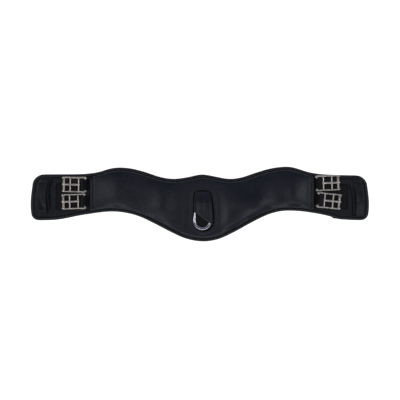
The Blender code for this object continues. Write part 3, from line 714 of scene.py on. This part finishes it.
def build_ring():
    swing = joints["d_ring_swing"]
    bar = np.array(swing["pos_m"]) / MM
    along = -np.array(swing["axis"])[:2]
    back = np.array([-along[1], along[0]])
    centre = bar[:2] - back * RING_BAR
    path = [(-RING_R * math.cos(a), -RING_R * math.sin(a)) for a in np.linspace(0, math.pi, 19)]
    leg = [(RING_R, 5.0), (RING_R, 10.0), (RING_R, 15.0), (RING_R - 0.3, 18.0), (RING_R - 1.5, 20.4),
           (RING_R - 4.0, RING_BAR)]
    path += leg + [(u, RING_BAR) for u in np.linspace(9, -9, 6)] + [(-u, v) for u, v in leg[::-1]]
    line = resample(path, 0.8, closed=True)
    normal = left_of(line, True)
    rings = []
    for (u, v), n in zip(line, normal):
        k = smooth((abs(u) - 12.4) / 3.4) if v > RING_BAR / 2 else 1.0
        wide = BAR_R + (RING_WIDE - 0.95 * smooth(v / 12) - BAR_R) * k
        thick = BAR_R + (RING_THICK - BAR_R) * k
        rings.append([(*(centre + along * (u + n[0] * wide * c) + back * (v + n[1] * wide * c)),
                       bar[2] + thick * s) for c, s in superellipse(24, 0.85)])
    made = piece("d_ring_polished", *skin(rings, closed=True), "ring_steel", "d_ring")
    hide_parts("d_ring")
    return bar, along, back


def build_tab(bar, along, back):
    """The leather loop that holds the ring: it runs down under the flap, round the bar and back below it."""
    radius = BAR_R + TAB_GAP + TAB_PLY
    rings = []
    for t in np.linspace(-1, 1, 21):
        low = bar[:2] + along * (t * 12.8)
        head = np.array([7.0 + t * 12.5, FLAP_HEAD - 0.2])
        straight = low + back * 5.0
        track = []
        for k in np.linspace(0, 1, 12):
            p = head + (straight - head) * k
            track.append(((*p, TAB_HEAD_Z + (bar[2] + radius - TAB_HEAD_Z) * k**2), (0, 0, 1)))
        for a in np.linspace(math.pi / 2, -math.pi / 2, 13):
            out = -back * math.cos(a)
            track.append(((*(low + out * radius), bar[2] + radius * math.sin(a)), (*out, math.sin(a))))
        track.append(((*(low + back * 9.5), bar[2] - radius), (0, 0, -1)))
        half = TAB_PLY * (1 - 0.3 * smooth((abs(t) - 0.9) / 0.1))
        points, out = (np.array(part) for part in zip(*track))
        rings.append(np.vstack([points + out * half, (points - out * half)[::-1]]))
    made = piece("d_ring_loop", *skin(rings), "face_leather", "body", sharp=60)
    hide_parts("d_ring_tab")


# The flap over the loop: (y, x) down its sides to the slanted free edge, and (y, height) of its underside.
FLAP_LEFT = [(-17.3, -12.9), (0, -12.7), (20, -12.0), (26.8, -9.0)]
FLAP_RIGHT = [(-45.2, 27.2), (-25, 27.4), (-10, 26.2), (10, 24.3), (22, 22.4), (26.8, 18.5)]
FLAP_UNDER = [(-46, 14.3), (-4, 14.3), (4, 13.9), (12, 12.8), (20, 11.75), (26.8, 11.4)]


def build_flap():
    """One broad sheet sewn at its top, swollen over the loop beneath, its edges thin and turned down."""
    lines = [resample(side, 0.8) for side in (FLAP_LEFT, FLAP_RIGHT, FLAP_UNDER)]
    left, right, under = (lambda y, k=line: np.interp(y, k[:, 0], k[:, 1]) for line in lines)
    bottoms = [line[0, 0] for line in lines[:2]]
    columns = np.r_[-1, -0.985, np.linspace(-0.96, 0.96, 49), 0.985, 1]
    rings = []
    for k in np.r_[0, np.linspace(0.01, 0.985, 40), 0.995, 1]:
        ends = [np.array([side(FLAP_HEAD + (b - FLAP_HEAD) * k), FLAP_HEAD + (b - FLAP_HEAD) * k])
                for side, b in zip((left, right), bottoms)]
        p = ends[0] + (ends[1] - ends[0]) * (columns[:, None] + 1) / 2
        rim = np.minimum(1 - np.abs(columns), (1 - k) * 1.1)
        z = under(p[:, 1]) - 0.35 * smooth((np.abs(columns) - 0.5) / 0.5) * smooth(k * 2)
        free = np.minimum(smooth(rim / 0.05), 1)
        swell = bump(p, (4.0, -4), (5.5, 22), 0.55) + bump(p, (17, -22), (6, 18), 0.25)
        crease = bump(p, (-6.5, 0), (2.4, 30), 0.35) + bump(p, (12, -6), (3.0, 30), 0.25)
        loose = smooth(k * 3) * free
        base = z + (swell - crease) * loose + 0.06 * waves(p, 12, 41) * loose
        rings.append(np.vstack([at_height(p, base + 0.45 + 0.65 * free), at_height(p, base)[::-1]]))
    made = piece("window_cover_flap", *skin(rings), "face_leather", sharp=75)
    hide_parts("window_flap")
    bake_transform(made)


# ---- guards

def guard_path(side, word):
    """The guard's free edge, anticlockwise from the fold line round the end and back."""
    points = outer_line(word + "_guard_binding")
    middle = (points.min(0) + points.max(0)) / 2
    turn = np.arctan2(points[:, 1] - middle[1], points[:, 0] - middle[0])
    fold = 0 if side < 0 else math.pi
    return points[np.argsort((turn - fold) % math.tau)]


def rounded_box(low, high, radius):
    """A box with round corners, as a loop of points about 1 mm apart."""
    loop = []
    for sx, sy, start in ((1, 1, 0), (-1, 1, 90), (-1, -1, 180), (1, -1, 270)):
        cx = (high[0] if sx > 0 else low[0]) - sx * radius
        cy = (high[1] if sy > 0 else low[1]) - sy * radius
        loop += [(cx + radius * math.cos(a), cy + radius * math.sin(a))
                 for a in np.radians(np.linspace(start, start + 90, 5))]
    out = []
    for p, q in zip(np.array(loop), np.roll(loop, -1, 0)):
        count = max(1, round(math.dist(p, q)))
        out += [p + (q - p) * k / count for k in range(count)]
    return np.array(out)


KEEPER_LINE = {  # share of its length, its middle's x and half width
    -1: [(0, -331.8, 9.8), (0.22, -339.0, 9.7), (0.4, -340.6, 9.2), (0.7, -338.6, 8.7), (1, -336.4, 8.5)],
    1: [(0, 335.6, 9.6), (0.2, 339.4, 9.2), (0.4, 343.0, 8.5), (0.62, 344.3, 8.4), (0.8, 345.0, 8.9),
        (1, 344.6, 9.2)],
}
KEEPER_TOP, KEEPER_LONG = 57.0, 84.5  # y of its upper end, and its length
KEEPER_FOOT, KEEPER_RISE = 7.4, 6.3  # its height where it is sewn down, and how far it bows up from there
BUCKLE_TRAVEL, HEEL_ROOM = 22.5, 0.65  # an elastic's stretch and a margin; room for a tipped frame's heels


def build_guard(side, word):
    body = word + "_end"
    path = resample(guard_path(side, word), 1.1)
    start, stop = path[0], path[-1]
    count = round(abs(start[1] - stop[1]) / 1.5)
    rim = np.vstack([path] + [stop + (start - stop) * k / count for k in range(1, count)])
    low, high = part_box(word + "_guard_inset")
    low, high = np.array(low)[:2] / MM - 0.35, np.array(high)[:2] / MM + 0.35
    window = rounded_box(low, high, 4.0)
    loops = [shift(rim, d, True) for d in (1.6, 3.6, 5.2, 6.4, 6.65, 6.9, 7.3, 7.8, 8.4, 9.2, 10.4)]
    holes = [shift(window, -d, True) for d in (0.5, 1.1, 1.8, 2.6, 3.6, 4.8)]
    grid = grid_inside(rim.min(0), rim.max(0), 1.9, rim, 11.6)
    grid = grid[~inside(grid, window) & (distance(grid, ring_of(window)) > 6.0)]
    flat, faces = triangulate(np.vstack(loops[1:] + holes + [grid]), loops[0], [window])
    edge = distance(flat, ring_of(rim))
    gap = distance(flat, ring_of(window))
    z = rise(edge, GUARD_RISE)
    roll, pivot = (max(side * joints[f"{word}_{level}_{kind}"]["pos_m"][0] / MM for level in LEVELS)
                   for kind in ("roll", "lift"))
    outboard = smooth((side * flat[:, 0] - roll - BUCKLE_TRAVEL) / 6)  # low under the buckles' travel
    inner = smooth((edge - 8) / 8)
    z += (0.9 * outboard - 0.2) * smooth((gap - 2.4) / 6) * smooth((edge - 7) / 9)
    z -= 0.5 * np.exp(-((gap - 2.4) / 0.8) ** 2)
    z -= 0.5 * (1 - smooth(gap / 1.2))
    z -= HEEL_ROOM * (1 - smooth((side * flat[:, 0] - pivot - BUCKLE_TRAVEL) / 8)) * smooth((edge - 6) / 2)
    line = keeper_line(side)
    share = (KEEPER_TOP - flat[:, 1]) / KEEPER_LONG
    across = side * (flat[:, 0] - np.interp(share, line[:, 0], line[:, 1]))
    trough = smooth((across + 20.5) / 6) * smooth((9 - across) / 6)  # it is pressed down beside the keeper
    fade = {-1: (0.06, 0.3), 1: (0.3, 0.05)}[side]
    trough *= smooth(share / fade[0]) * smooth((1 - share) / fade[1])
    z -= 3.6 * trough * smooth((edge - 7) / 5)
    z += 1.5 * np.exp(-((across + 23) / 3.6) ** 2) * inner * outboard
    z += bump(flat, (side * 312, 3), (16, 18), 2.2) * inner * smooth((gap - 1.5) / 6) * outboard
    z += 0.1 * waves(flat, 24, 51 + side) * smooth((edge - 8) / 6)
    top = at_height(flat, z)
    pad = piece(word + "_guard_pad", *close_pad(top, faces, PAD_UNDER), "face_leather", body, GUARD)
    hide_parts(word + "_guard_face", word + "_guard_padding")

    bed_rim = shift(window, 0.3, True)
    flat, faces = triangulate(grid_inside(low, high, 2.2, bed_rim, 1.5), bed_rim, [])
    d = distance(flat, ring_of(bed_rim))
    bed_top = at_height(flat, 4.9 + 0.95 * smooth(d / 3.5) + 0.1 * waves(flat, 17, 57 + side))
    bed = piece(word + "_guard_bed", *close_pad(bed_top, faces, 3.0), "lining_leather", body)
    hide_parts(word + "_guard_inset")

    bind(word + "_guard_edge", path, body, word + "_guard_binding", seed=60 + side)
    if side > 0:  # the binding's end, lapped over its start
        lap = path[(path[:, 0] > 285) & (path[:, 0] < 291.5) & (path[:, 1] < 0)]
        bind(word + "_guard_edge_lap", lap, body, grow=1.32, seed=66, seam=False)
    build_lining(word + "_guard_underside", rim, body, word + "_guard_lining")
    ring = shift(window, -2.4, True)
    ring = at_height(ring, surface_z(top)(ring) + 0.22)
    stitches(word + "_guard_window_stitches", ring, body, closed=True)
    build_keeper(side, word, body)
    return path


def keeper_line(side):
    """The keeper's table as a smooth line."""
    fine = resample(np.array(KEEPER_LINE[side]) * (KEEPER_LONG, 1, 1), 1.0)
    return fine / (KEEPER_LONG, 1, 1)


KEEPER_FALL = {-1: 0.16, 1: 0.42}  # share of its length over which it comes down at its lower end


def build_keeper(side, word, body):
    """A leather keeper, sewn down at both ends and bowed up between them, with softly waved edges."""
    line = keeper_line(side)
    rings = []
    for k in np.linspace(0, 1, 81):
        x, half = (np.interp(k, line[:, 0], line[:, i]) for i in (1, 2))
        fall = min(1.0, (1 - k) / KEEPER_FALL[side])
        lift = smooth((k - 0.02) / 0.15) * (0.55 * fall + 0.45 * smooth(fall))
        z = KEEPER_FOOT + (KEEPER_RISE + 0.3 * math.sin(k * 9.0 + side)) * lift
        tilt = 0.09 * math.sin(k * 7.5 - 0.6 * side) * lift
        hollow = 2.0 * math.exp(-((k - 0.6) / 0.22) ** 2) if side < 0 else 1.0
        ring = []
        for u, v in KEEPER_SECTION:
            dish = (0.4 - hollow) * (1 - u * u) * lift
            ring.append((x + u * half, KEEPER_TOP - KEEPER_LONG * k, z + v + u * half * tilt * side + dish))
        rings.append(ring)
    made = piece(word + "_keeper_strap", *skin(rings), "binding_leather", body, KEEPER_SKIN, sharp=60)
    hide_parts(word + "_keeper")
    for k, label in ((0.022, "top"), (0.978, "low")):
        x, half = (np.interp(k, line[:, 0], line[:, i]) for i in (1, 2))
        y, z = KEEPER_TOP - KEEPER_LONG * k, KEEPER_FOOT + 1
        row = [(x + u * half, y, z) for u in np.linspace(-0.88, 0.88, 9)]
        stitches(f"{word}_keeper_{label}_stitches", row, body, pitch=2.6, long=1.9, radius=0.3)


# Half of a keeper's upper side, from its edge over the worn bevel to its middle.
KEEPER_HALF = [(1.0, -0.35), (1.0, 0.05), (0.975, 0.4), (0.93, 0.68), (0.86, 0.86), (0.76, 0.95), (0.6, 0.98),
               (0.4, 1.0), (0.2, 1.0)]
KEEPER_SECTION = [(-u, v) for u, v in KEEPER_HALF] + [(0, 1.0)] + KEEPER_HALF[::-1] + [(0.95, -0.7)] + \
    [(u, -0.75) for u in np.linspace(0.8, -0.8, 7)] + [(-0.95, -0.7)]


# ---- buckles

BARS = {"rear": (0.0, 1.6), "tongue": (13.6, 1.9), "middle": (31.7, 1.9), "outer": (45.2, 2.0)}
RAIL_Y = 14.9


def tube(path, half_w, half_h, sides=16, power=0.7):
    """A rounded bar along points (x, y, z, size)."""
    path = np.asarray(path, float)
    return skin([[(x + n[0] * half_w * size * c, y + n[1] * half_w * size * c, z + half_h * size * s)
                  for c, s in superellipse(sides, power)]
                 for (x, y, z, size), n in zip(path, left_of(path[:, :2]))])


def frame_mesh():
    """The cast frame: rails and bars fused by a voxel remesh, then relaxed, which fillets the joins."""
    parts = []
    for sign in (1, -1):
        path = [(48.9, 12.6, 0.6), (48.2, 13.9, 0.85), (46.8, 14.7, 1.0), (44.5, RAIL_Y, 1.0),
                (30, RAIL_Y, 1.0), (14, RAIL_Y, 1.0), (0.2, RAIL_Y, 1.0), (-1.6, 14.5, 0.95),
                (-2.6, 13.4, 0.8), (-3.0, 12.4, 0.6)]
        line = resample([(x, sign * y, 0.0, s) for x, y, s in path], 0.8)
        parts.append(tube(line, 1.75, 1.95))
    for x, radius in BARS.values():
        ys = np.linspace(-RAIL_Y, RAIL_Y, 40)
        swell = 1 + 0.1 * smooth((np.abs(ys) - 11.5) / 3)
        parts.append(tube([(x, y, 0.0, s) for y, s in zip(ys, swell)], radius, radius, 20, 1.0))
    # The frame's nickel has painted light on top and painted shade on its flanks.
    obj = piece("cast_frame", *merge(parts), "buckle_steel", mat=TOP_LIT_NICKEL)
    remesh = obj.modifiers.new("fuse", "REMESH")
    remesh.mode = "VOXEL"
    remesh.voxel_size = 0.42 * MM
    relax = obj.modifiers.new("relax", "SMOOTH")
    relax.factor, relax.iterations = 0.5, 5
    mesh = bpy.data.meshes.new_from_object(settled(obj))
    mesh.name = "buckle_frame_cast"
    mesh.shade_smooth()
    bpy.data.objects.remove(obj)
    return mesh


def roller_data():
    """The roller: a turned tube with rolled lips and a slight waist."""
    half = [(12.9, 2.9), (12.75, 3.15), (12.4, 3.34), (11.9, 3.36), (11.3, 3.22), (8.0, 3.2), (3.5, 3.16),
            (0, 3.15)]
    bore = [(-12.9, 2.3), (-12.6, 2.1), (12.6, 2.1), (12.9, 2.3)]
    profile = half + [(-y, r) for y, r in half[-2::-1]] + bore
    return skin([[(r * math.cos(a), y, r * math.sin(a)) for y, r in profile]
                 for a in np.linspace(0, math.tau, 40, False)], closed=True)


def tongue_data():
    """The tongue: its root rolled round the bar, its shaft tapering to a blunt tip on the roller."""
    wrap = BARS["tongue"][1] + 0.15 + 0.65
    track = [(wrap * math.cos(a), wrap * math.sin(a), math.cos(a), math.sin(a), 0.65, 2.0)
             for a in np.radians(np.linspace(330, 90, 17))]
    shaft = [(1.6, 2.85, 0.75, 2.05), (4, 3.15, 0.98, 2.1), (8, 3.4, 1.12, 2.05), (12, 3.65, 1.2, 2.0),
             (18, 4.15, 1.2, 1.95), (24, 4.6, 1.15, 1.9), (28, 4.75, 1.1, 1.85), (32.8, 4.75, 1.05, 1.75),
             (34.7, 4.6, 0.9, 1.5), (35.6, 4.45, 0.65, 1.1), (36.0, 4.35, 0.35, 0.6)]
    track += [(x, z, 0.0, 1.0, h, w) for x, z, h, w in shaft]
    return skin([[(x + nx * h * c, w * s, z + nz * h * c) for c, s in superellipse(16, 0.7)]
                 for x, z, nx, nz, h, w in track])


def build_elastic(key, side, pivot, turn):
    """Ribbed elastic: sewn in under the band, folded round the rear bar, with soft selvedges."""
    ahead, across = np.array([*turn, 0]), np.array([-turn[1], turn[0], 0])
    reach = (BODY_X[side] - side * 0.6 - pivot[0]) / turn[0]
    radius = BARS["rear"][1] + 0.2 + 0.7
    drop = [4.45 - pivot[2], 6.0 - pivot[2]]
    gate = reach + 1.8
    line = [(reach, drop[1]), (gate, drop[1] + 0.1), (gate + 3, drop[1] + 0.9)]
    line += [(radius * math.cos(a), radius * math.sin(a)) for a in np.radians(np.linspace(132, -110, 13))]
    line += [(gate + 3, drop[0] - 0.3), (gate, drop[0] - 0.1), (reach, drop[0])]
    line = resample(line, 0.4)
    rib = 0.13 * np.cos(lengths(line) / 2.1 * math.tau)
    rings = []
    for (x, z), n, r in zip(line, left_of(line), rib):
        ring = []
        for u, v in ELASTIC_SECTION:
            h = v * (0.7 + r * (1 - 0.5 * abs(u)))
            ring.append(pivot + ahead * (x + n[0] * h) + across * u * 11.2 + (0, 0, z + n[1] * h))
        rings.append(ring)
    made = piece(key + "_elastic_web", *skin(rings), "elastic", sharp=70)
    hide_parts(key + "_elastic")
    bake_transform(made)


ELASTIC_SECTION = [(u, 1.0) for u in np.linspace(-0.96, 0.96, 13)] + [(1.0, 0.55), (1.0, -0.55)] + \
    [(u, -1.0) for u in np.linspace(0.96, -0.96, 13)] + [(-1.0, -0.55), (-1.0, 0.55)]


def build_buckles():
    cast = frame_mesh()
    roller, tongue = roller_data(), tongue_data()
    for word, side in SIDES.items():
        for level in LEVELS:
            key = word + "_" + level
            pivot = np.array(joints[key + "_lift"]["pos_m"]) / MM
            outer = np.array(joints[key + "_roll"]["pos_m"]) / MM
            turn = (outer - pivot)[:2] / np.linalg.norm(outer - pivot)
            angle = math.atan2(turn[1], turn[0])
            place = Matrix.Translation(pivot * MM) @ Matrix.Rotation(angle, 4, "Z")
            body = link(bpy.data.objects.new(key + "_cast_frame", cast))
            body.matrix_world = place
            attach(body, key + "_frame")
            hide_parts(key + "_buckle_frame")
            for label, data, bar, rider, node, mat in (
                    ("_turned_roller", roller, "outer", "_roller", "_roller", None),
                    # the tongue's nickel has painted light on top and painted shade on its flanks
                    ("_forged_tongue", tongue, "tongue", "_tongue", "_tongue", TOP_LIT_NICKEL)):
                made = piece(key + label, *data, "buckle_steel", mat=mat, sharp=60)
                made.matrix_world = place @ Matrix.Translation((BARS[bar][0] * MM, 0, 0))
                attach(made, key + rider)
                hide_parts(key + node)
            build_elastic(key, side, pivot, turn)


# ---- folds

def build_fold(side, word, guard):
    """The leather that joins body and guard under the elastics, and the binding lapped over the fold."""
    x = BODY_X[side] + side
    low, top = (edge_y(edge, 4.2, BODY_X[side]) for edge in (edge_low, edge_top))
    ys = np.linspace(low + 0.6, top - 0.6, 20)
    section = [(low, -0.5), (low, 0.3)] + [(y, 0.5) for y in ys]
    section += [(top, 0.3), (top, -0.5)] + [(y, -0.7) for y in ys[::-1]]
    rings = [[(x + u, y, 2.7 + 0.25 * math.cos(u / 6.5 * math.pi) + v) for y, v in section]
             for u in np.linspace(-6.5, 6.5, 14)]
    made = piece(word + "_fold_leather", *skin(rings), "lining_leather")
    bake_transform(made)
    for label, edge in (("top", edge_top), ("low", edge_low)):
        near = edge[np.abs(edge[:, 0] - BODY_X[side]) < 6.5]
        far = guard[(np.abs(guard[:, 0] - BODY_X[side]) < 8.5) & ((guard[:, 1] > 20) == (label == "top"))]
        both = np.vstack([near, far])
        both = both[np.argsort(both[:, 0])][::-1 if label == "top" else 1]
        lap = bind(f"{word}_fold_lap_{label}", resample(both[::3], 0.8), None, grow=1.05, seed=80 + side,
                   seam=False)
        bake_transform(lap)


# ---- putting it together

def dress_cad():
    """Every CAD node gets its detailed material, also those that are hidden inside."""
    for obj in frame["nodes"].values():
        for slot in obj.material_slots:
            name = slot.material.name.split(".")[0] if slot.material else ""
            slot.material = MATS.get(name, MATS["face_leather"])


def stage():
    white, _, shader, _ = new_material("studio_floor", Roughness=0.9)
    shader.inputs["Base Color"].default_value = (0.9, 0.9, 0.9, 1)
    shader.inputs["Emission Color"].default_value = (1, 1, 1, 1)
    shader.inputs["Emission Strength"].default_value = FLOOR_GLOW
    bpy.ops.mesh.primitive_plane_add(size=9, location=(0, 0, -0.0004))
    floor = bpy.context.object
    floor.name = "studio_floor"
    floor.data.materials.append(white)
    world = bpy.data.worlds.new("studio")
    bpy.context.scene.world = world
    world.use_nodes = True
    sky = world.node_tree
    height = add(sky, "SeparateXYZ", {0: add(sky, "TexCoord").outputs["Generated"]}).outputs["Z"]
    tent = add(sky, "MapRange", {"Value": height, "From Min": SKY_FROM[0], "From Max": SKY_FROM[1]},
               interpolation_type="SMOOTHSTEP")
    sky.links.new(blend_colour(sky, tent.outputs["Result"], SKY_LOW, SKY_HIGH),
                  sky.nodes["Background"].inputs["Color"])
    for name, place, size, power in LIGHTS:
        data = bpy.data.lights.new(name, "AREA")
        data.shape, data.energy = "RECTANGLE", power
        data.size, data.size_y = size
        lamp = link(bpy.data.objects.new(name, data))
        lamp.location = place
        lamp.rotation_euler = (-Vector(place)).to_track_quat("-Z", "Y").to_euler()
        lamp.visible_camera = False
    view = bpy.context.scene.view_settings
    view.view_transform, view.look = "Standard", "None"
    camera = bpy.data.cameras.new("camera")
    camera.sensor_width = 36
    camera.lens = 36 * CAMERA_HIGH / FRAME_WIDE
    camera.clip_end = 50
    eye = link(bpy.data.objects.new("camera", camera))
    eye.location = (0.0003, 0.0088, CAMERA_HIGH)
    bpy.context.scene.camera = eye


FLOOR_GLOW = 0.95
SKY_LOW, SKY_HIGH = (0.3, 0.315, 0.36), (0.08, 0.098, 0.158)
SKY_FROM = (math.cos(math.radians(62)), math.cos(math.radians(10)))
CAMERA_HIGH, FRAME_WIDE = 4.0, 0.8616
LIGHTS = [("key_near", (-0.1, -2.0, 4.6), (4.0, 0.8), 20), ("key_left", (-2.05, 0.3, 4.6), (0.8, 2.6), 13),
          ("key_right", (2.2, 0.2, 4.6), (0.8, 2.6), 13.5)]

dress_cad()
cover_z = surface_z(build_body())
bind("body_edge_top", edge_top, "body", "body_binding_upper", seed=1)
bind("body_edge_low", edge_low, "body", "body_binding_lower", seed=2)
build_lining("body_underside", np.vstack([edge_low, edge_top]), "body", "body_lining")
for word, side in SIDES.items():
    build_band(side, word, cover_z)
build_window()
build_tab(*build_ring())
build_flap()
for word, side in SIDES.items():
    build_fold(side, word, build_guard(side, word))
build_buckles()
stage()
